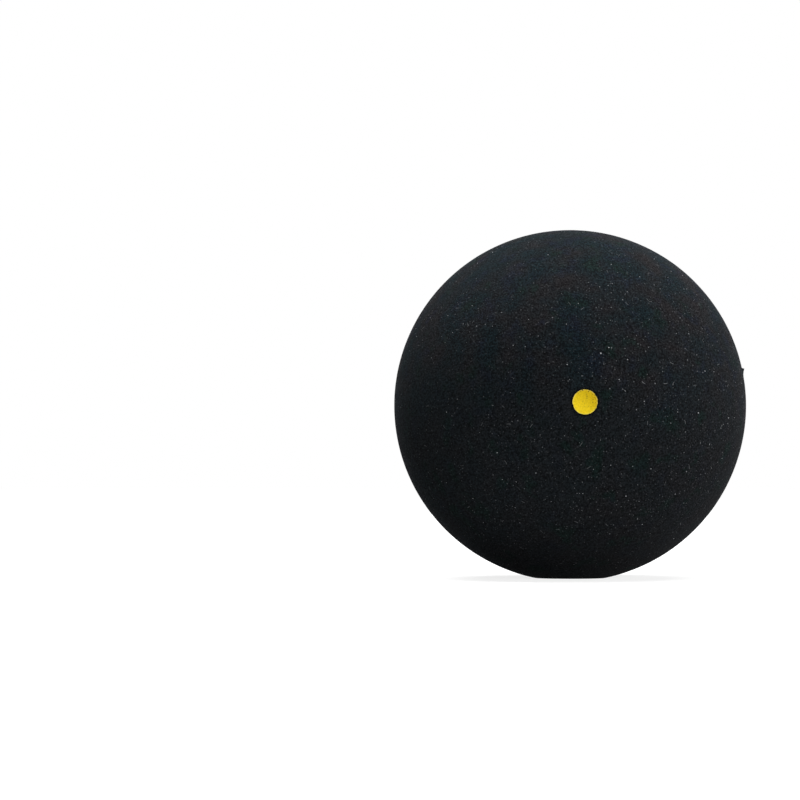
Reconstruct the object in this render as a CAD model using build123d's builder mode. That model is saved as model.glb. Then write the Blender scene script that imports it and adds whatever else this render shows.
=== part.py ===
from build123d import *
import os
from math import sqrt

# Squash ball: two moulded rubber half-shells, bonded rim to rim, buffed all over and then printed.
# Millimetres, +Z up, origin at the ball's centre. The ball's polar axis is Y. The bonded seam lies in
# the XZ plane, the speed dot is on the front pole, towards -Y, and the ring print is round the back
# pole, towards +Y. Inside is one sealed cavity of air.

# Ball
BALL_DIAMETER = 40.0  # outside, as buffed
WALL = 4.8  # rubber, the same all round

# Bonded seam
SEAM_FILM = 0.16  # cured adhesive between the two flat rims
SEAM_RECESS = 0.05  # depth of the adhesive's edge below the ball's surface
RIM_EDGE_RADIUS = 0.1  # round that buffing leaves on the outer edge of each rim
BEAD_RADIUS = 0.7  # adhesive squeezed out of the joint, into the cavity

# Speed dot: ink that lines a shallow dish, level with the ball's surface at its rim
DOT_DIAMETER = 2.8
DOT_DISH = 0.12  # depth of the dot's middle below its own rim
DOT_INK = 0.06  # thickness of the ink

# Ring print: two thin rings with a row of radial bars between them
PRINT_INK = 0.05  # thickness of the ink, which stands on the ball's surface
PRINT_OPEN_DIAMETER = 12.0  # bare middle, inside the inner ring
RING_LINE = 0.6  # width of each ring
BAR_COUNT = 24
BAR_WIDTH = 0.8  # also the diameter of a bar's round ends
BAR_SPAN = 1.7  # between the centres of a bar's round ends
BAR_GAP = 0.8  # from the bars' ends to each ring

# Worked out from the sizes above
ball_radius = BALL_DIAMETER / 2
cavity_radius = ball_radius - WALL
dot_radius = DOT_DIAMETER / 2
dot_rim_height = sqrt(ball_radius**2 - dot_radius**2)
inner_ring_radius = PRINT_OPEN_DIAMETER / 2
bar_row_radius = inner_ring_radius + RING_LINE + BAR_GAP
bar_middle_radius = bar_row_radius + (BAR_WIDTH + BAR_SPAN) / 2
outer_ring_radius = bar_row_radius + BAR_WIDTH + BAR_SPAN + BAR_GAP

# Sections are drawn with X as the radius and Y as the height above the seam, towards the half's own pole
front_section_plane = Plane(origin=(0, 0, 0), x_dir=(1, 0, 0), z_dir=(0, 0, -1))
back_section_plane = Plane.XY
# The print is drawn as it is seen from behind the ball
print_plane = Plane(origin=(0, 0, 0), x_dir=(-1, 0, 0), z_dir=(0, 1, 0))


def draw_half_section():
    """The wall of one half, stopped short of the seam plane by half the adhesive film."""
    Circle(ball_radius)
    Circle(cavity_radius, mode=Mode.SUBTRACT)
    with Locations((0, SEAM_FILM / 2)):
        Rectangle(ball_radius, ball_radius, align=(Align.MIN, Align.MIN), mode=Mode.INTERSECT)


def round_outer_rim(half):
    """Rounds the outer edge of a half's rim, which is the widest of its edges parallel to the seam."""
    outer_rim = half.edges().filter_by(Plane.XZ).sort_by(SortBy.RADIUS)[-1]
    fillet(outer_rim, radius=RIM_EDGE_RADIUS)


def dish_arc(rim_height):
    """A dished line from the axis to the dot's edge, where it is rim_height above the seam plane."""
    return TangentArc((0, rim_height - DOT_DISH), (dot_radius, rim_height), tangent=(1, 0))


# Front half-shell, with the dish for the dot
with BuildPart() as front_half_shell:
    with BuildSketch(front_section_plane):
        draw_half_section()
    revolve(axis=Axis.Y)
    round_outer_rim(front_half_shell)
    with BuildSketch(front_section_plane):
        with BuildLine():
            seat = dish_arc(dot_rim_height - DOT_INK)
            cut_height = ball_radius + DOT_INK
            Polyline(seat @ 1, (dot_radius, cut_height), (0, cut_height), seat @ 0)
        make_face()
    revolve(axis=Axis.Y, mode=Mode.SUBTRACT)

# Back half-shell, plain
with BuildPart() as back_half_shell:
    with BuildSketch(back_section_plane):
        draw_half_section()
    revolve(axis=Axis.Y)
    round_outer_rim(back_half_shell)

# Seam adhesive: the film between the rims and the bead that follows the cavity's wall
with BuildPart() as seam_adhesive:
    with BuildSketch(back_section_plane):
        with Locations((cavity_radius, 0)):
            Circle(BEAD_RADIUS)
        Circle(cavity_radius, mode=Mode.INTERSECT)
        with Locations((cavity_radius - BEAD_RADIUS / 2, 0)):
            film_width = WALL + BEAD_RADIUS / 2 - SEAM_RECESS
            Rectangle(film_width, SEAM_FILM, align=(Align.MIN, Align.CENTER))
    revolve(axis=Axis.Y)

# Speed dot: the ink between the dish and a like surface above it
with BuildPart() as speed_dot:
    with BuildSketch(front_section_plane):
        with BuildLine():
            ink_underside = dish_arc(dot_rim_height - DOT_INK)
            ink_surface = dish_arc(dot_rim_height)
            Line(ink_underside @ 0, ink_surface @ 0)
            Line(ink_underside @ 1, ink_surface @ 1)
        make_face()
    revolve(axis=Axis.Y)

# Ring print: the part of a thin skin round the ball that lies under the stamp
with BuildPart() as ring_print:
    Sphere(ball_radius + PRINT_INK)
    with BuildSketch(print_plane):
        for ring_radius in (outer_ring_radius, inner_ring_radius):
            Circle(ring_radius + RING_LINE)
            Circle(ring_radius, mode=Mode.SUBTRACT)
        with PolarLocations(bar_middle_radius, BAR_COUNT):
            SlotCenterToCenter(BAR_SPAN, BAR_WIDTH)
    extrude(amount=ball_radius + PRINT_INK, mode=Mode.INTERSECT)
    Sphere(ball_radius, mode=Mode.SUBTRACT)

# Each piece is written as its own file
os.makedirs("parts", exist_ok=True)
pieces = {
    "front_half_shell": front_half_shell,
    "back_half_shell": back_half_shell,
    "seam_adhesive": seam_adhesive,
    "speed_dot": speed_dot,
    "ring_print": ring_print,
}
for name, piece in pieces.items():
    piece.part.label = name
    export_step(piece.part, f"parts/{name}.step")
    print(f"{name}: {piece.part.volume:.2f} mm3")
print(f"print across: {2 * (outer_ring_radius + RING_LINE):.1f} mm")
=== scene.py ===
# %% [markdown]
# # A squash ball, finished in Blender
#
# A squash ball is a hollow ball of black rubber. Two half-shells are moulded, glued rim to rim, buffed all
# over so that the joint hardly shows, and then printed: a small coloured speed dot on one pole, and a mark
# round the other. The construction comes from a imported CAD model, which this lesson loads as a fixed frame.
# Every piece below replaces one CAD node, at the same place and size, with a finer mesh and a real finish.

# %% Load the frame
from math import acos, asin, cos, exp, hypot, pi, radians, sin, sqrt, tau

import bmesh
import bpy
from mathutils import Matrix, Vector, noise


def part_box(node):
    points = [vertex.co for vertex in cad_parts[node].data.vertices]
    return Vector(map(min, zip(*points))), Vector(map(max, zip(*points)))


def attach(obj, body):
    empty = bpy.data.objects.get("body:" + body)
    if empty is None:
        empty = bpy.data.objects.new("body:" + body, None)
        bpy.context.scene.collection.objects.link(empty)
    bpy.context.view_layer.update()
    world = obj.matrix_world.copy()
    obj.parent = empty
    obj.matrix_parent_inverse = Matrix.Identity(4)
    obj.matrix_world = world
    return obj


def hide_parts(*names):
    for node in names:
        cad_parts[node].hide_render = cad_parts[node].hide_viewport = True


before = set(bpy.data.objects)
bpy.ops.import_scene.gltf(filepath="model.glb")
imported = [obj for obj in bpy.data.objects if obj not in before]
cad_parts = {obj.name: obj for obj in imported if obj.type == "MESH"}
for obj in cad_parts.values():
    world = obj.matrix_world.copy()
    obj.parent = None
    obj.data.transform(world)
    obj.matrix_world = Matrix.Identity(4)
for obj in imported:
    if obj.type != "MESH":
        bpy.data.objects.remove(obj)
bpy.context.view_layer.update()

print("nodes:", sorted(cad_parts))

# %% [markdown]
# ## Sizes
#
# All lengths are in metres, so a millimetre gets a name. What can be measured on the frame is read from it:
# the ball's radius, the seam, and the two inks. What the frame's boxes can't show, such as the wall, is
# written here as a real size. The ball's polar axis is Y, with the dot at -Y and the ring print at +Y.

# %% Sizes from the frame
MM = 0.001
WALL = 4.8 * MM
RIM_EDGE_RADIUS = 0.1 * MM
DOT_INK = 0.06 * MM

back_low, back_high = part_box("back_half_shell")
dot_low, dot_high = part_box("speed_dot")
bond_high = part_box("seam_adhesive")[1]
print_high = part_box("ring_print")[1]

ball_radius = back_high.y
cavity_radius = ball_radius - WALL
half_seam = back_low.y
bond_radius = bond_high.x
bead_radius = bond_high.y
dot_radius = dot_high.x
dot_rim_height = -dot_low.y
dish_depth = dot_high.y - dot_low.y - DOT_INK
print_radius = print_high.x

radii = {
    "ball": ball_radius,
    "bond": bond_radius,
    "bead": bead_radius,
    "dot": dot_radius,
    "print": print_radius,
}
for name, radius in radii.items():
    print("radius of the", name, round(radius / MM, 3), "mm")

# %% [markdown]
# ## Turned shapes
#
# Half-shells, bond and dot are all solids of revolution. A lathe shape could come from the Screw modifier or
# from a UV sphere cut in two, but a sphere gives no wall, no rim and no dish. Here a section is drawn the way
# a draughtsman would draw it: one vertex is spun about a centre, which leaves an arc of edges, or extruded
# into a straight line. The finished section is then spun about the polar axis. A spin gets slower with every
# step, because the mesh grows, so only one sector is spun step by step, and the rest are copies of it.

# %% Draw a section and turn it
def arc_from(bm, corner, centre, angle, steps):
    """Spins one corner of a section about a centre, and returns the far end of the arc."""
    middle = (centre[0], centre[1], 0)
    turned = bmesh.ops.spin(bm, geom=[corner], cent=middle, axis=(0, 0, 1), angle=angle, steps=steps)
    return turned["geom_last"][0]


def line_from(bm, corner, end, steps=1):
    """Extrudes one corner of a section along a straight line, and returns the line's far end."""
    start = corner.co.copy()
    for step in range(1, steps + 1):
        corner = bmesh.ops.extrude_vert_indiv(bm, verts=[corner])["verts"][0]
        corner.co = start.lerp(Vector((end[0], end[1], 0)), step / steps)
    return corner


SECTORS = 12
MERGE_DISTANCE = 0.0001 * MM


def turn_section(bm, steps):
    """Spins a section through one sector, copies that sector round, and closes the seams and poles."""
    axis = {"cent": (0, 0, 0), "axis": (0, 1, 0)}
    section = bm.verts[:] + bm.edges[:]
    bmesh.ops.spin(bm, geom=section, angle=tau / SECTORS, steps=steps // SECTORS, **axis)
    copies = SECTORS - 1
    sector = bm.verts[:] + bm.edges[:] + bm.faces[:]
    bmesh.ops.spin(bm, geom=sector, angle=tau * copies / SECTORS, steps=copies, use_duplicate=True, **axis)
    bmesh.ops.remove_doubles(bm, verts=bm.verts, dist=MERGE_DISTANCE)
    bmesh.ops.recalc_face_normals(bm, faces=bm.faces)


# %% [markdown]
# ## From a mesh to a piece
#
# Each finished mesh becomes an object at the origin, unturned and unscaled, with its place in its vertices.
# It rides on the ball's one body and stands for one CAD node. Faces are
# shaded smooth, and only real corners, such as the rims, stay sharp.

# %% Make a piece
SHARP_CORNER = radians(40)


def make_piece(bm, name, node):
    """Turns a bmesh into an object that rides on the ball and replaces one CAD node."""
    mesh = bpy.data.meshes.new(name)
    bm.to_mesh(mesh)
    bm.free()
    mesh.shade_smooth()
    mesh.set_sharp_from_angle(angle=SHARP_CORNER)
    piece = bpy.data.objects.new(name, mesh)
    bpy.context.scene.collection.objects.link(piece)
    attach(piece, "root")
    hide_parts(node)
    triangles = sum(len(face.vertices) - 2 for face in mesh.polygons)
    print(name, "has", triangles, "triangles")
    return piece


# %% [markdown]
# ## Relief of the buffed rubber
#
# A buffed ball isn't a perfect sphere. The buffing wheel leaves it a hundredth of a millimetre high or low
# over a few millimetres, with a fine peel on top. A bump map would do on the face, but not on the outline,
# so the vertices of the outer skin are pushed in and out by noise. Noise in space has no seam and no poles.

# %% Push the outer skin in and out
WAVE_SIZE = 6.0 * MM
WAVE_DEPTH = 0.012 * MM
PEEL_SIZE = 0.9 * MM
PEEL_DEPTH = 0.004 * MM
SKIN_DEPTH = 0.02 * MM


def relief(place):
    """How far the buffed skin stands out of the true sphere at a place."""
    waves = noise.noise(place / WAVE_SIZE) * WAVE_DEPTH
    peel = noise.noise(place / PEEL_SIZE) * PEEL_DEPTH
    return waves + peel


def roughen_skin(bm):
    """Moves the outer skin's vertices along their radius, and leaves the wall and the cavity alone."""
    skin = [vert for vert in bm.verts if vert.co.length > ball_radius - SKIN_DEPTH]
    for vert in skin:
        vert.co += vert.co.normalized() * relief(vert.co)
    print("vertices in the buffed skin:", len(skin))


# %% [markdown]
# ## Half-shells
#
# Each half is a wall of even thickness: an outer arc, a rounded rim edge, a flat rim and an inner arc. One
# solid sphere would look nearly the same from outside, but the halves are real pieces, so each gets its own
# rim and its half of the cavity. Many steps go to the outer arc, because it is the outline of the ball, and
# few to the cavity, which nobody sees.

# %% Draw the wall of one half
TURN_STEPS = 480
SKIN_STEPS = 132
RIM_EDGE_STEPS = 5
RIM_STEPS = 3
CAVITY_STEPS = 22


def draw_wall(bm, corner, side):
    """Draws a wall from the skin, round the rim, to the cavity's pole. Side is -1 for the front half."""
    edge_height = half_seam + RIM_EDGE_RADIUS
    edge_angle = asin(edge_height / (ball_radius - RIM_EDGE_RADIUS))
    edge_middle = (edge_height / sin(edge_angle) * cos(edge_angle), side * edge_height)
    start_angle = acos(corner.co.x / ball_radius)
    corner = arc_from(bm, corner, (0, 0), side * (edge_angle - start_angle), SKIN_STEPS)
    corner = arc_from(bm, corner, edge_middle, -side * (pi / 2 + edge_angle), RIM_EDGE_STEPS)
    cavity_angle = asin(half_seam / cavity_radius)
    corner = line_from(bm, corner, (cavity_radius * cos(cavity_angle), side * half_seam), RIM_STEPS)
    arc_from(bm, corner, (0, 0), side * (pi / 2 - cavity_angle), CAVITY_STEPS)


# %% Turn the back half
back_mesh = bmesh.new()
draw_wall(back_mesh, back_mesh.verts.new((0, ball_radius, 0)), 1)
turn_section(back_mesh, TURN_STEPS)
roughen_skin(back_mesh)
buffed_back_half = make_piece(back_mesh, "buffed_back_half", "back_half_shell")

# %% [markdown]
# ## The dish and the nib
#
# The dot lies in a shallow dish, so that its ink isn't rubbed off at the first bounce. The dish is one more
# arc in the front half's section, below a small step as high as the ink is thick. Near the seam, buffing has
# torn up one nib of rubber, which breaks the outline. It rises along the girth to a tip and ends there. It
# could be sculpted by hand, but a formula gives the same nib every time. The skin's faces are larger than
# that, so a patch of them is subdivided before its vertices are lifted.

# %% Draw a dish
DISH_STEPS = 18
dish_radius = (dot_radius**2 + dish_depth**2) / (2 * dish_depth)
dish_angle = asin(dot_radius / dish_radius)


def draw_dish(bm, rim_height):
    """Draws a dish from the polar axis to the dot's edge, where it is rim_height from the seam's plane."""
    bottom = dish_depth - rim_height
    axis_corner = bm.verts.new((0, bottom, 0))
    return arc_from(bm, axis_corner, (0, bottom - dish_radius), -dish_angle, DISH_STEPS)


print("dish is turned to a radius of", round(dish_radius / MM, 2), "mm")

# %% Raise the nib
NIB_TURN = radians(12.0)
NIB_FROM_SEAM = 2.6 * MM
NIB_LENGTH = 0.95 * MM
NIB_TIP = 0.12 * MM
NIB_WIDTH = 0.3 * MM
NIB_HEIGHT = 0.26 * MM
NIB_PATCH = 1.5 * NIB_LENGTH
NIB_CUTS = 4


def raise_nib(bm):
    """Lifts a sliver of skin near the seam, from nothing at its root to full height just below its tip."""
    girth = sqrt(ball_radius**2 - NIB_FROM_SEAM**2)
    tip = Vector((girth * cos(NIB_TURN), -NIB_FROM_SEAM, girth * sin(NIB_TURN)))
    along_girth = Vector((-sin(NIB_TURN), 0, cos(NIB_TURN)))
    patch = [edge for edge in bm.edges if all((vert.co - tip).length < NIB_PATCH for vert in edge.verts)]
    bmesh.ops.subdivide_edges(bm, edges=patch, cuts=NIB_CUTS, use_grid_fill=True)
    lifted = 0
    for vert in bm.verts:
        offset = vert.co - tip
        if offset.length < NIB_PATCH:
            along = offset.dot(along_girth)
            across = sqrt(max(0, offset.length_squared - along**2)) / NIB_WIDTH
            rise = max(0, 1 + min(0, along) / NIB_LENGTH) ** 2 * max(0, 1 - max(0, along) / NIB_TIP)
            vert.co += vert.co.normalized() * NIB_HEIGHT * rise * exp(-(across**2))
            lifted += 1
    print("vertices in the nib's patch:", lifted)


# %% Turn the front half
INK_STEP_ROWS = 2

front_mesh = bmesh.new()
seat_edge = draw_dish(front_mesh, dot_rim_height - DOT_INK)
skin_edge = line_from(front_mesh, seat_edge, (dot_radius, -dot_rim_height), INK_STEP_ROWS)
draw_wall(front_mesh, skin_edge, -1)
turn_section(front_mesh, TURN_STEPS)
roughen_skin(front_mesh)
raise_nib(front_mesh)
buffed_front_half = make_piece(front_mesh, "buffed_front_half", "front_half_shell")

# %% [markdown]
# ## The bond
#
# The two rims are glued, and the joint is pressed until a little adhesive squeezes out. Outside it is buffed
# away, just below the skin. Inside it stays as a bead round the cavity. A torus would give the bead alone, so
# film and bead are turned from one section, a thin film with a round end. Its outer edge is a little uneven.

# %% Turn the bond
FILM_STEPS = 6
FILM_EDGE_STEPS = 2
SHOULDER_STEPS = 2
BEAD_STEPS = 12
BOND_UNEVEN = 0.015 * MM
BOND_WAVE = 1.2 * MM

film_angle = asin(half_seam / cavity_radius)
bead_angle = 2 * asin(bead_radius / (2 * cavity_radius))
bead_turn = pi - bead_angle

bond_mesh = bmesh.new()
corner = bond_mesh.verts.new((bond_radius, half_seam, 0))
corner = line_from(bond_mesh, corner, (cavity_radius * cos(film_angle), half_seam), FILM_STEPS)
corner = arc_from(bond_mesh, corner, (0, 0), bead_angle - film_angle, SHOULDER_STEPS)
corner = arc_from(bond_mesh, corner, (cavity_radius, 0), bead_turn, BEAD_STEPS)
corner = arc_from(bond_mesh, corner, (0, 0), bead_angle - film_angle, SHOULDER_STEPS)
corner = line_from(bond_mesh, corner, (bond_radius, -half_seam), FILM_STEPS)
line_from(bond_mesh, corner, (bond_radius, half_seam), FILM_EDGE_STEPS)
turn_section(bond_mesh, TURN_STEPS)
for vert in bond_mesh.verts:
    if hypot(vert.co.x, vert.co.z) > bond_radius - BOND_UNEVEN:
        vert.co += vert.co.normalized() * noise.noise(vert.co / BOND_WAVE) * BOND_UNEVEN
seam_bond = make_piece(bond_mesh, "seam_bond", "seam_adhesive")

# %% [markdown]
# ## The speed dot
#
# The dot is a drop of thick ink that lines the dish. A yellow disc in the rubber's material would do from
# afar, but the ink has a thickness and catches light at its rim, so it is a piece of its own. Its section is
# two dishes, one above the other, joined at the edge. A bevel rounds the upper edge, and noise round the rim
# makes it fall short of the dish here and there, as ink does.

# %% Turn the dot
DOT_TURN_STEPS = 144

dot_mesh = bmesh.new()
underside_edge = draw_dish(dot_mesh, dot_rim_height - DOT_INK)
surface_edge = draw_dish(dot_mesh, dot_rim_height)
dot_mesh.edges.new((underside_edge, surface_edge))
turn_section(dot_mesh, DOT_TURN_STEPS)
print("turned dot has", len(dot_mesh.verts), "vertices")

# %% Round the dot's edge and make it ragged
DOT_EDGE_ROUND = 0.02 * MM
DOT_EDGE_SEGMENTS = 3
DOT_SHORT = 0.02 * MM
DOT_RAGGED = 0.09 * MM
DOT_RAGGED_SIZE = 0.3 * MM
DOT_RAGGED_POWER = 8
HEIGHT_SLACK = 0.001 * MM


def on_upper_edge(vert):
    """True for the dot's vertices where its surface meets its side."""
    return abs(vert.co.y + dot_rim_height) < HEIGHT_SLACK


upper_edges = [edge for edge in dot_mesh.edges if all(on_upper_edge(vert) for vert in edge.verts)]
bmesh.ops.bevel(
    dot_mesh,
    geom=upper_edges,
    offset=DOT_EDGE_ROUND,
    segments=DOT_EDGE_SEGMENTS,
    profile=0.5,
    affect="EDGES",
    material=-1,
)
for vert in dot_mesh.verts:
    reach = hypot(vert.co.x, vert.co.z) / dot_radius
    rim = Vector((vert.co.x, 0, vert.co.z)).normalized() * dot_radius
    ragged = abs(noise.noise(rim / DOT_RAGGED_SIZE)) * DOT_RAGGED
    vert.co -= rim.normalized() * (DOT_SHORT + ragged) * reach**DOT_RAGGED_POWER
yellow_dot = make_piece(dot_mesh, "yellow_dot", "speed_dot")

# %% [markdown]
# ## The ring print
#
# The mark on the other pole is stamped with a soft pad. So it is modelled that way: the stamp is drawn flat,
# thickened to the ink's depth, made slightly uneven and then pressed along the polar axis onto the ball. A
# Shrinkwrap modifier could press it on, but on a sphere one square root does the same. The rings are two
# circles bridged into a band. A bar is a grid whose end columns are bent to half circles, so its faces stay
# even. Blender shifts its vector noise by an amount drawn from the clock, so a seed is set first, and the
# uneven edge is then the same in every run.

# %% Draw the flat stamp
PRINT_INK = 0.05 * MM
OPEN_RADIUS = 6.0 * MM
RING_LINE = 0.6 * MM
RING_STEPS = 540
RING_CUTS = 3
BAR_COUNT = 24
BAR_WIDTH = 0.8 * MM
BAR_SPAN = 1.7 * MM
BAR_COLUMNS = 20
BAR_ROWS = 6
bar_middle = (OPEN_RADIUS + print_radius) / 2


def add_ring(bm, inner_radius):
    """Adds a flat band between two circles, with enough rows to follow the ball."""
    loops = []
    for radius in (inner_radius, inner_radius + RING_LINE):
        circle = bmesh.ops.create_circle(bm, segments=RING_STEPS, radius=radius)
        loops += {edge for vert in circle["verts"] for edge in vert.link_edges}
    band = bmesh.ops.bridge_loops(bm, edges=loops)
    bmesh.ops.subdivide_edges(bm, edges=band["edges"], cuts=RING_CUTS, use_grid_fill=True)


def add_bar(bm, turn):
    """Adds a flat bar with round ends, turned to its place in the row."""
    grid = bmesh.ops.create_grid(bm, x_segments=BAR_COLUMNS, y_segments=BAR_ROWS, size=1)
    for vert in grid["verts"]:
        half_length = BAR_SPAN / 2 + BAR_WIDTH / 2 * sqrt(max(0, 1 - vert.co.y**2))
        along = bar_middle + vert.co.x * half_length
        across = vert.co.y * BAR_WIDTH / 2
        vert.co = (along * cos(turn) - across * sin(turn), along * sin(turn) + across * cos(turn), 0)


stamp = bmesh.new()
add_ring(stamp, OPEN_RADIUS)
add_ring(stamp, print_radius - RING_LINE)
for count in range(BAR_COUNT):
    add_bar(stamp, tau * count / BAR_COUNT)
print("flat stamp has", len(stamp.faces), "faces")

# %% Press the stamp onto the ball
PRINT_RAGGED = 0.025 * MM
PRINT_RAGGED_SIZE = 0.35 * MM
PRINT_SEED = 1

noise.seed_set(PRINT_SEED)
bmesh.ops.recalc_face_normals(stamp, faces=stamp.faces)
bmesh.ops.solidify(stamp, geom=stamp.faces[:], thickness=PRINT_INK)
for vert in stamp.verts:
    flat = Vector((vert.co.x, vert.co.y, 0))
    flat += noise.noise_vector(flat / PRINT_RAGGED_SIZE) * PRINT_RAGGED
    height = ball_radius + abs(vert.co.z)
    vert.co = (-flat.x, sqrt(height**2 - flat.x**2 - flat.y**2), flat.y)
bmesh.ops.recalc_face_normals(stamp, faces=stamp.faces)
stamped_ring = make_piece(stamp, "stamped_ring", "ring_print")

# %% [markdown]
# ## Shader wiring
#
# A finish is a tree of shader nodes. To keep its maths readable, one class wraps an output socket, so that
# `1 - mask` adds a Math node, and one method adds any other node: first its settings, then its sockets.

# %% Wires and node trees
class Wire:
    """One output of a node. Arithmetic on it adds Math nodes to the tree."""

    def __init__(self, tree, socket):
        self.tree = tree
        self.socket = socket

    def other(self, name):
        """Another output of the same node."""
        return Wire(self.tree, self.socket.node.outputs[name])

    def maths(self, operation, first, second):
        """Adds one Math node and returns its output."""
        return self.tree.node("ShaderNodeMath", {"operation": operation}, {0: first, 1: second})

    def __add__(self, number):
        return self.maths("ADD", self, number)

    def __radd__(self, number):
        return self.maths("ADD", number, self)

    def __sub__(self, number):
        return self.maths("SUBTRACT", self, number)

    def __rsub__(self, number):
        return self.maths("SUBTRACT", number, self)

    def __mul__(self, number):
        return self.maths("MULTIPLY", self, number)

    def __rmul__(self, number):
        return self.maths("MULTIPLY", number, self)

    def __pow__(self, number):
        return self.maths("POWER", self, number)

    def __rpow__(self, number):
        return self.maths("POWER", number, self)

    def __abs__(self):
        return self.maths("ABSOLUTE", self, 0)


class NodeTree:
    """The nodes of one material or world."""

    def __init__(self, owner):
        owner.use_nodes = True
        self.nodes = owner.node_tree.nodes
        self.links = owner.node_tree.links
        self.nodes.clear()

    def node(self, kind, settings=None, sockets=None, output=0):
        """Adds a node, sets its settings, fills its sockets with values or wires, and returns one output."""
        made = self.nodes.new(kind)
        for name, value in (settings or {}).items():
            setattr(made, name, value)
        for name, value in (sockets or {}).items():
            if isinstance(value, Wire):
                self.links.new(value.socket, made.inputs[name])
            else:
                made.inputs[name].default_value = value
        return Wire(self, made.outputs[output]) if made.outputs else None


# %% [markdown]
# ## Words for the finishes
#
# A few patterns come back in the finishes, so each gets a short function: smooth noise of a given size,
# scattered points with one random colour each, a soft step from 0 to 1, and a mix of two colours. Comparing
# masks, vector arithmetic and measuring along a direction get short functions too. Colours are written as
# they look on a screen, from 0 to 255, and turned into the linear values that the shader wants.

# %% Paint, noise, points, steps and mixes
def paint(red, green, blue):
    """A colour as seen on a screen, as the linear colour of a shader socket."""
    linear = []
    for level in (red, green, blue):
        share = level / 255
        linear.append(share / 12.92 if share <= 0.04045 else ((share + 0.055) / 1.055) ** 2.4)
    return (*linear, 1)


def noise_of(tree, place, size, detail=2):
    """Smooth noise from 0 to 1, with lumps of about that size."""
    return tree.node("ShaderNodeTexNoise", None, {"Vector": place, "Scale": 1 / size, "Detail": detail})


def cells_of(tree, place, size):
    """The distance to the nearest of many scattered points, as a share of their spacing."""
    return tree.node("ShaderNodeTexVoronoi", None, {"Vector": place, "Scale": 1 / size})


def step_of(tree, value, low, high):
    """A soft step: 0 at low and 1 at high, whichever of the two is larger."""
    sockets = {"Value": value, "From Min": low, "From Max": high}
    return tree.node("ShaderNodeMapRange", {"interpolation_type": "SMOOTHSTEP"}, sockets)


def mix_of(tree, share, first, second, blend="MIX"):
    """The first colour at share 0 and the second at share 1."""
    settings = {"data_type": "RGBA", "blend_type": blend}
    return tree.node("ShaderNodeMix", settings, {0: share, 6: first, 7: second}, output=2)


print("the grey 128 of a screen is", round(paint(128, 128, 128)[0], 3), "in linear light")

# %% Masks and vectors
def larger_of(tree, first, second):
    """The larger of two masks."""
    return tree.node("ShaderNodeMath", {"operation": "MAXIMUM"}, {0: first, 1: second})


def smaller_of(tree, first, second):
    """The smaller of two masks."""
    return tree.node("ShaderNodeMath", {"operation": "MINIMUM"}, {0: first, 1: second})


def vector_of(tree, operation, first, second=(0, 0, 0), output="Vector"):
    """Vector arithmetic, such as CROSS_PRODUCT or NORMALIZE."""
    return tree.node("ShaderNodeVectorMath", {"operation": operation}, {0: first, 1: second}, output)


def share_along(tree, place, direction, reach):
    """How far a place lies along a direction, as a share of reach."""
    return vector_of(tree, "DOT_PRODUCT", place, direction, "Value") * (1 / reach)


# %% [markdown]
# ## Specks and fibres
#
# Under a lens the buffed rubber is full of pale specks: grains of chalk filler that the wheel has laid bare,
# and lint. Painting them would need an image. Scattered points give them for nothing: each point carries a
# small ball, and where the skin cuts that ball, a speck shows. Every point also has a random colour, whose
# channels choose the speck's size and strength. Faint specks are common and bright ones rare, so the strength
# is a negative power of the random number. A fibre is drawn the same way, as a thin, slightly bent line
# through the point, lying in the surface.

# %% Specks
SMALLEST_SPECK = 0.35
SOFT_CORE = 0.4


def specks_of(tree, place, spacing, radius, faintest, fall):
    """A mask of round specks, most of them faint. A smaller fall leaves fewer bright ones."""
    distance = cells_of(tree, place, spacing)
    chance = tree.node("ShaderNodeSeparateColor", None, {"Color": distance.other("Color")})
    reach = (SMALLEST_SPECK + (1 - SMALLEST_SPECK) * chance) * (radius / spacing)
    strength = faintest * chance.other("Green") ** -fall
    return step_of(tree, distance, reach, SOFT_CORE * reach) * smaller_of(tree, strength, 1)


# %% Fibres
FIBRE_BEND = 0.3
FIBRE_TAPER = 0.6


def fibres_of(tree, place, spacing, length, width, share):
    """A mask of short fibres that lie in the ball's skin. Share is the part of the points that has one."""
    distance = cells_of(tree, place, spacing)
    offset = vector_of(tree, "SUBTRACT", place, distance.other("Position"))
    outward = vector_of(tree, "NORMALIZE", place)
    # Blue also chooses the fibres, so the part of its range that has them is spread out before it turns them
    spread = vector_of(tree, "MULTIPLY", distance.other("Color"), (1, 1, 1 / share))
    lean = vector_of(tree, "SUBTRACT", spread, (0.5, 0.5, 1 / share - 0.5))
    sideways = vector_of(tree, "NORMALIZE", vector_of(tree, "CROSS_PRODUCT", outward, lean))
    forwards = vector_of(tree, "CROSS_PRODUCT", sideways, outward)
    chance = tree.node("ShaderNodeSeparateColor", None, {"Color": distance.other("Color")})
    along = vector_of(tree, "DOT_PRODUCT", offset, forwards, "Value") * (2 / length)
    bend = (chance.other("Green") - 0.5) * (FIBRE_BEND * length)
    across = vector_of(tree, "DOT_PRODUCT", offset, sideways, "Value") + bend * along * along
    line = step_of(tree, abs(across), width / 2, SOFT_CORE * width / 2)
    stretch = step_of(tree, abs(along), 1, FIBRE_TAPER)
    return line * stretch * step_of(tree, chance.other("Blue"), 1 - share, 1 - 0.5 * share)
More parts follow.
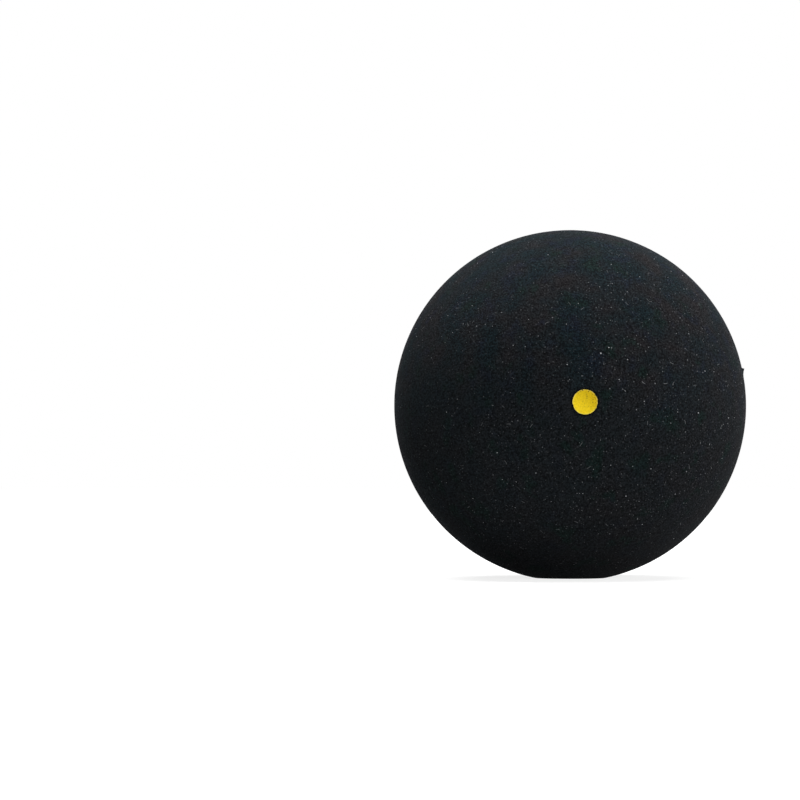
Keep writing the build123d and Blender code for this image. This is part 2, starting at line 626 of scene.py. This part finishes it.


# %% [markdown]
# ## Buffed rubber
#
# The rubber is nearly black and matt, slightly blue, and never one flat colour. From coarse to fine it has a
# mottle of cooler, warmer and bluer black, with a few patches of teal, a grain as fine as the wheel's grit,
# and the specks and fibres, which lie thicker in some places than in others. A picture wrapped round the ball
# would be drawn together at the poles, so all of it is made from noise in space. The mottle is stronger on
# top of the ball than at its foot. The wheel runs from pole to pole, so near the seam its grain is drawn out
# that way: the noise is stretched along the polar axis. A narrow ring of painted shade just outside the dot
# makes the skin darker there. There is hardly any gloss, but the dusty bloom of the rubber has a sheen, which
# makes the ball paler towards the edges that face a lamp. The grain and the specks also feed a bump.

# %% Tones of the black
COOL_BLACK = paint(11.5, 20, 23)
WARM_BLACK = paint(22.5, 20, 20.8)
TEAL_BLACK = paint(12, 21.5, 20)
BLUE_BLACK = paint(15, 19, 29)
WARM_PATCH = 3.6 * MM
TEAL_PATCH = 2.6 * MM
BLUE_PATCH = 2.1 * MM
USUAL_WARMTH = 0.44
SIDE_WARMTH = 0.15
TEAL_STRENGTH = 0.9
BLUE_STRENGTH = 0.6
CALM_FOOT = 0.27
LIVELY_TOP = 0.92
UPWARDS = (0, 0, 1)
WARM_SIDE = (0.7, 0, -0.7)


def rubber_tone(tree, place):
    """The mottled black, before its grain: livelier on top of the ball, and warmer low on its right."""
    near_top = step_of(tree, share_along(tree, place, UPWARDS, ball_radius), -0.2, 0.4)
    lively = CALM_FOOT + (LIVELY_TOP - CALM_FOOT) * near_top
    swing = step_of(tree, noise_of(tree, place, WARM_PATCH), 0.22, 0.78) - 0.5
    to_side = share_along(tree, place, WARM_SIDE, ball_radius)
    warmth = USUAL_WARMTH + lively * swing + SIDE_WARMTH * to_side
    teal = TEAL_STRENGTH * step_of(tree, noise_of(tree, place, TEAL_PATCH), 0.56, 0.7)
    blue = BLUE_STRENGTH * lively * step_of(tree, noise_of(tree, place, BLUE_PATCH), 0.5, 0.72)
    tone = mix_of(tree, warmth, COOL_BLACK, WARM_BLACK)
    tone = mix_of(tree, teal, tone, TEAL_BLACK)
    return mix_of(tree, blue, tone, BLUE_BLACK)


# %% The painted shade round the dot
HALO_FULL = 0.1 * MM
HALO_END = 0.3 * MM


def painted_shade_round_dot(tree, place):
    """1 on a narrow ring of skin just outside the dot, where shade is painted, and else 0."""
    from_pole = vector_of(tree, "SUBTRACT", place, (0, -ball_radius, 0))
    distance = vector_of(tree, "LENGTH", from_pole, output="Value")
    return step_of(tree, distance, dot_radius + HALO_END, dot_radius + HALO_FULL)


# %% Specks on the rubber
DUST_SPACING = 0.3 * MM
DUST_RADIUS = 0.09 * MM
DUST_FAINTEST = 0.039
DUST_FALL = 0.59
LINT_SPACING = 2.2 * MM
LINT_LENGTH = 0.6 * MM
LINT_WIDTH = 0.09 * MM
LINT_SHARE = 0.25
LINT_STRENGTH = 0.1
CROWD_SIZE = 7 * MM
CROWD_SIDE = (0.8, 0, -0.6)
LEAST_CROWDING = 0.4
PATCH_CROWDING = 0.7
SIDE_CROWDING = 0.5


def pale_specks(tree, place):
    """A mask of bare chalk, dust and lint, which lie thickest low on the ball's right."""
    dust = specks_of(tree, place, DUST_SPACING, DUST_RADIUS, DUST_FAINTEST, DUST_FALL)
    lint = fibres_of(tree, place, LINT_SPACING, LINT_LENGTH, LINT_WIDTH, LINT_SHARE) * LINT_STRENGTH
    patches = step_of(tree, noise_of(tree, place, CROWD_SIZE), 0.35, 0.65)
    low_right = step_of(tree, share_along(tree, place, CROWD_SIDE, ball_radius), -0.8, 0.8)
    crowding = LEAST_CROWDING + PATCH_CROWDING * patches + SIDE_CROWDING * low_right
    return larger_of(tree, dust, lint) * crowding


# %% Buffed rubber
GRAIN_SIZE = 0.185 * MM
GRAIN_STRETCH = 1.8
GRAIN_DEPTH = 0.03 * MM
GRAIN_DARKEST = 0.39
GRAIN_CONTRAST = 1.78
GRAIN_POWER = 1.1
HALO_SHADE = 0.5
SPECK_RELIEF = 2
SHINE_PATCH = 0.6 * MM
CHALK = paint(204, 207, 211)


def make_buffed_rubber():
    """The finish of both half-shells."""
    material = bpy.data.materials.new("buffed_black_rubber")
    tree = NodeTree(material)
    place = tree.node("ShaderNodeTexCoord", output="Object")
    drawn_out = vector_of(tree, "MULTIPLY", place, (1, 1 / GRAIN_STRETCH, 1))
    grain = step_of(tree, noise_of(tree, drawn_out, GRAIN_SIZE, 1), 0.25, 0.75)
    light = GRAIN_DARKEST + GRAIN_CONTRAST * grain**GRAIN_POWER
    # Painted shade: a narrow ring of skin just outside the dot is made darker.
    grey = light * (1 - HALO_SHADE * painted_shade_round_dot(tree, place))
    shade = tree.node("ShaderNodeCombineColor", None, {"Red": grey, "Green": grey, "Blue": grey})
    base = mix_of(tree, 1.0, rubber_tone(tree, place), shade, "MULTIPLY")
    pale = pale_specks(tree, place)
    colour = mix_of(tree, pale, base, CHALK)
    height = grain + SPECK_RELIEF * pale
    normal = tree.node("ShaderNodeBump", None, {"Strength": 1.0, "Distance": GRAIN_DEPTH, "Height": height})
    surface = tree.node(
        "ShaderNodeBsdfPrincipled",
        None,
        {
            "Base Color": colour,
            "Roughness": 0.78 + 0.2 * noise_of(tree, place, SHINE_PATCH),
            "Normal": normal,
            "Specular IOR Level": 0.004,
            "Sheen Weight": 0.015,
            "Sheen Roughness": 0.7,
            "Sheen Tint": (0.95, 0.95, 1, 1),
        },
    )
    tree.node("ShaderNodeOutputMaterial", None, {"Surface": surface})
    return material


buffed_rubber = make_buffed_rubber()
for piece in (buffed_front_half, buffed_back_half):
    piece.data.materials.append(buffed_rubber)
print(buffed_rubber.name, "has", len(buffed_rubber.node_tree.nodes), "nodes")

# %% [markdown]
# ## Cured bond
#
# The adhesive is a rubber solution that cures black. It isn't buffed, so it has no bloom and no bare chalk,
# and the joint shows as a fine dark line. A plain black would do for that line, but the bead inside would
# look moulded, so it has the small waves of something that was squeezed out.

# %% Cured bond
BOND_RIPPLE = 0.8 * MM
BOND_RIPPLE_DEPTH = 0.03 * MM
DARK_BOND = paint(9, 10, 11)
PALE_BOND = paint(17, 18, 19)


def make_cured_bond():
    """The finish of the adhesive in the seam."""
    material = bpy.data.materials.new("cured_bond")
    tree = NodeTree(material)
    place = tree.node("ShaderNodeTexCoord", output="Object")
    waves = noise_of(tree, place, BOND_RIPPLE, 3)
    colour = mix_of(tree, waves, DARK_BOND, PALE_BOND)
    relief_sockets = {"Strength": 0.6, "Distance": BOND_RIPPLE_DEPTH, "Height": waves}
    normal = tree.node("ShaderNodeBump", None, relief_sockets)
    surface = tree.node(
        "ShaderNodeBsdfPrincipled",
        None,
        {"Base Color": colour, "Roughness": 0.6 + 0.25 * waves, "Normal": normal, "Specular IOR Level": 0.01},
    )
    tree.node("ShaderNodeOutputMaterial", None, {"Surface": surface})
    return material


seam_bond.data.materials.append(make_cured_bond())
print("finish of", seam_bond.name, "is", seam_bond.data.materials[0].name)

# %% [markdown]
# ## Inks
#
# Both inks are matt and a little starved: pinholes show the rubber through them, and they are thinner in some
# places than in others. One flat colour would look like a sticker. The dot's yellow has painted shade at its
# upper right and painted light at its lower left, has more pinholes at the upper right, and is paler near its
# rim.
# The pad left a more even coat on the other side. So each ink has a function of its own for its coat, and one
# function makes a material of either.

# %% The dot's coat
PAINTED_SHADE_THIN_YELLOW = paint(192, 161, 9)
PAINTED_LIGHT_FULL_YELLOW = paint(233, 203, 29)
RIM_YELLOW = paint(230, 220, 140)
# The side towards which the dot's yellow is painted lighter and its coat is full
PAINTED_LIGHT_AND_FULL_SIDE = (-0.6, 0, -0.8)
RIM_START = 0.88 * dot_radius
RIM_END = 0.97 * dot_radius


def yellow_coat(tree, place, cover):
    """The dot's colour, with painted light at its lower left, and a mask from 0 at its upper right to 1
    there, where it is full.
    """
    # Painted light and shade: lighter to the lower left, darker to the upper right, with fewer pinholes at
    # the lower left
    painted_light_and_full = step_of(tree, share_along(tree, place, PAINTED_LIGHT_AND_FULL_SIDE, dot_radius), -0.8, 0.8)
    yellow = mix_of(tree, 0.6 * painted_light_and_full + 0.4 * cover, PAINTED_SHADE_THIN_YELLOW, PAINTED_LIGHT_FULL_YELLOW)
    across = vector_of(tree, "LENGTH", vector_of(tree, "MULTIPLY", place, (1, 0, 1)), output="Value")
    rim = step_of(tree, across, RIM_START, RIM_END)
    return mix_of(tree, rim * (0.1 + 0.4 * cover), yellow, RIM_YELLOW), painted_light_and_full


# %% The print's coat
THIN_PALE = paint(120, 136, 146)
FULL_PALE = paint(170, 186, 196)
PRESSED_PATCH = 4 * MM


def pale_coat(tree, place, cover):
    """The print's colour, and a mask of slow changes from one part of the mark to the next."""
    pressed = step_of(tree, noise_of(tree, place, PRESSED_PATCH), 0.3, 0.7)
    return mix_of(tree, cover, THIN_PALE, FULL_PALE), 0.5 * pressed


# %% Inks
INK_GRAIN = 0.16 * MM
INK_RELIEF = 0.012 * MM
HOLE_FALL = 0.6
HOLE_RELIEF = 2
HOLES_FILLED = 0.8
HOLE_TONE = paint(34, 33, 28)


def make_ink(name, coat, hole_spacing, hole_radius, faintest_hole):
    """A matt ink with pinholes, which are fewer where its coat is full."""
    material = bpy.data.materials.new(name)
    tree = NodeTree(material)
    place = tree.node("ShaderNodeTexCoord", output="Object")
    grain = noise_of(tree, place, INK_GRAIN)
    cover = step_of(tree, grain, 0.3, 0.7)
    ink, full = coat(tree, place, cover)
    holes = specks_of(tree, place, hole_spacing, hole_radius, faintest_hole, HOLE_FALL)
    holes = holes * (1 - HOLES_FILLED * full)
    colour = mix_of(tree, holes, ink, HOLE_TONE)
    height = grain - HOLE_RELIEF * holes
    normal = tree.node("ShaderNodeBump", None, {"Strength": 0.4, "Distance": INK_RELIEF, "Height": height})
    surface = tree.node(
        "ShaderNodeBsdfPrincipled",
        None,
        {"Base Color": colour, "Roughness": 0.65 + 0.2 * cover, "Normal": normal, "Specular IOR Level": 0.1},
    )
    tree.node("ShaderNodeOutputMaterial", None, {"Surface": surface})
    return material


yellow_ink = make_ink(
    "yellow_ink", yellow_coat, hole_spacing=0.22 * MM, hole_radius=0.11 * MM, faintest_hole=0.45
)
yellow_dot.data.materials.append(yellow_ink)
pale_ink = make_ink("pale_ink", pale_coat, hole_spacing=0.3 * MM, hole_radius=0.15 * MM, faintest_hole=0.14)
stamped_ring.data.materials.append(pale_ink)
print("inks:", yellow_ink.name, pale_ink.name)

# %% [markdown]
# ## Floor and background
#
# The ball lies on a soft white sheet, which it dents by 0.4 mm, before a white background. A sheet that is
# really white would light the ball's foot too much. So the sheet's own colour is grey, and a glow is added
# only for rays that reach the camera, directly or in a reflection, which makes it look white. The shadow
# stays, because it falls on the sheet's own colour. Far from the ball, where the lamps don't reach, the glow
# alone makes the sheet white.

# %% Rays that are seen
def shown_rays(tree):
    """1 for rays that the camera sees, directly, in a reflection or through something clear, and else 0."""
    camera = tree.node("ShaderNodeLightPath", output="Is Camera Ray")
    shown = camera + camera.other("Is Glossy Ray") + camera.other("Is Transmission Ray")
    return tree.node("ShaderNodeClamp", None, {"Value": shown})


# %% Floor
FLOOR_HALF = 3.0
FLOOR_DENT = 0.4 * MM
FLOOR_PAPER = 0.3
FLOOR_GLOW = 0.8
FADE_START = 3 * ball_radius
FADE_END = 15 * ball_radius


def make_floor():
    """A flat white sheet under the ball."""
    sheet = bmesh.new()
    bmesh.ops.create_grid(sheet, x_segments=2, y_segments=2, size=FLOOR_HALF)
    bmesh.ops.translate(sheet, verts=sheet.verts, vec=(0, 0, FLOOR_DENT - ball_radius))
    mesh = bpy.data.meshes.new("floor")
    sheet.to_mesh(mesh)
    sheet.free()
    material = bpy.data.materials.new("white_sheet")
    tree = NodeTree(material)
    place = tree.node("ShaderNodeTexCoord", output="Object")
    far = step_of(tree, vector_of(tree, "LENGTH", place, output="Value"), FADE_START, FADE_END)
    glow = (FLOOR_GLOW + (1 - FLOOR_GLOW) * far) * shown_rays(tree)
    paper = tree.node("ShaderNodeBsdfDiffuse", None, {"Color": (FLOOR_PAPER, FLOOR_PAPER, FLOOR_PAPER, 1)})
    light = tree.node("ShaderNodeEmission", None, {"Strength": glow})
    both = tree.node("ShaderNodeAddShader", None, {0: paper, 1: light})
    tree.node("ShaderNodeOutputMaterial", None, {"Surface": both})
    mesh.materials.append(material)
    floor = bpy.data.objects.new("floor", mesh)
    bpy.context.scene.collection.objects.link(floor)
    print("floor at", round(mesh.vertices[0].co.z / MM, 2), "mm")


make_floor()

# %% Background
AMBIENT = 0.03


def make_background():
    """White where it is seen, and a dimmer white where it lights the ball."""
    world = bpy.data.worlds.new("white_room")
    tree = NodeTree(world)
    strength = AMBIENT + (1 - AMBIENT) * shown_rays(tree)
    background = tree.node("ShaderNodeBackground", None, {"Color": (1, 1, 1, 1), "Strength": strength})
    tree.node("ShaderNodeOutputWorld", None, {"Surface": background})
    bpy.context.scene.world = world
    print("background:", world.name)


make_background()

# %% [markdown]
# ## Studio light
#
# Two softboxes hang over the ball, one to the right and one to the left and behind, so that its top is paler
# than its foot. One in front, a little to the right, lights the dot, one behind lights the print, and a weak
# one on the right picks out that edge. A picture of a studio round the scene could light it too, but lamps
# can be moved one by one. Each is an area lamp whose strength is given as brightness, so that its size can
# change without changing the exposure. Together they light the dot and the print at the level where a colour
# looks about as it is written.

# %% Studio light
def hang_softbox(name, place, width, depth, brightness):
    """Adds a rectangular lamp that faces the ball."""
    lamp = bpy.data.lights.new(name, "AREA")
    lamp.shape = "RECTANGLE"
    lamp.size = width
    lamp.size_y = depth
    lamp.energy = brightness * pi * width * depth
    softbox = bpy.data.objects.new(name, lamp)
    softbox.location = place
    softbox.rotation_euler = (-Vector(place)).to_track_quat("-Z", "Y").to_euler()
    bpy.context.scene.collection.objects.link(softbox)
    print(name, "has", round(lamp.energy, 2), "W")


hang_softbox("top_softbox", (0.18, 0.0, 0.5), width=0.3, depth=0.3, brightness=10.6)
hang_softbox("upper_left_softbox", (-0.17, 0.15, 0.48), width=0.3, depth=0.3, brightness=13.0)
hang_softbox("front_softbox", (0.25, -0.7, 0.15), width=0.3, depth=0.3, brightness=14.8)
hang_softbox("right_softbox", (0.6, 0.12, 0.0), width=0.4, depth=0.4, brightness=4.4)
hang_softbox("back_softbox", (0.1, 0.65, 0.08), width=0.5, depth=0.4, brightness=2.6)

# %% [markdown]
# ## Camera
#
# The camera is low and far away, as for a product picture: just above the floor, aimed slightly to the left
# of the ball, so that the ball sits right of the middle. It could be placed by eye, but here its aim and its
# lens follow from the ball's place and size in the picture.

# %% Camera
PICTURE_SIDE = 800
BALL_PIXEL = (569.7, 405.9)
BALL_PIXEL_RADIUS = 175.5
CAMERA_DISTANCE = 0.4
CAMERA_TURN = radians(-4.81)
CAMERA_RISE = radians(-1.18)
SENSOR_WIDTH = 36

along_floor = cos(CAMERA_RISE)
outward = Vector((sin(CAMERA_TURN) * along_floor, -cos(CAMERA_TURN) * along_floor, sin(CAMERA_RISE)))
right = Vector((cos(CAMERA_TURN), sin(CAMERA_TURN), 0))
up = right.cross(-outward)
focal_pixels = BALL_PIXEL_RADIUS * sqrt(CAMERA_DISTANCE**2 - ball_radius**2) / ball_radius
metres_per_pixel = CAMERA_DISTANCE / focal_pixels
aim = -right * (BALL_PIXEL[0] - PICTURE_SIDE / 2) * metres_per_pixel
aim += up * (BALL_PIXEL[1] - PICTURE_SIDE / 2) * metres_per_pixel

camera_data = bpy.data.cameras.new("camera")
camera_data.sensor_width = SENSOR_WIDTH
camera_data.lens = focal_pixels * SENSOR_WIDTH / PICTURE_SIDE
camera = bpy.data.objects.new("camera", camera_data)
camera.location = outward * CAMERA_DISTANCE
camera.rotation_euler = (aim - camera.location).to_track_quat("-Z", "Y").to_euler()
bpy.context.scene.collection.objects.link(camera)
bpy.context.scene.camera = camera
bpy.context.scene.view_settings.view_transform = "Standard"
camera_place = [round(side / MM, 1) for side in camera.location]
print("lens", round(camera_data.lens, 1), "mm, camera at", camera_place, "mm")
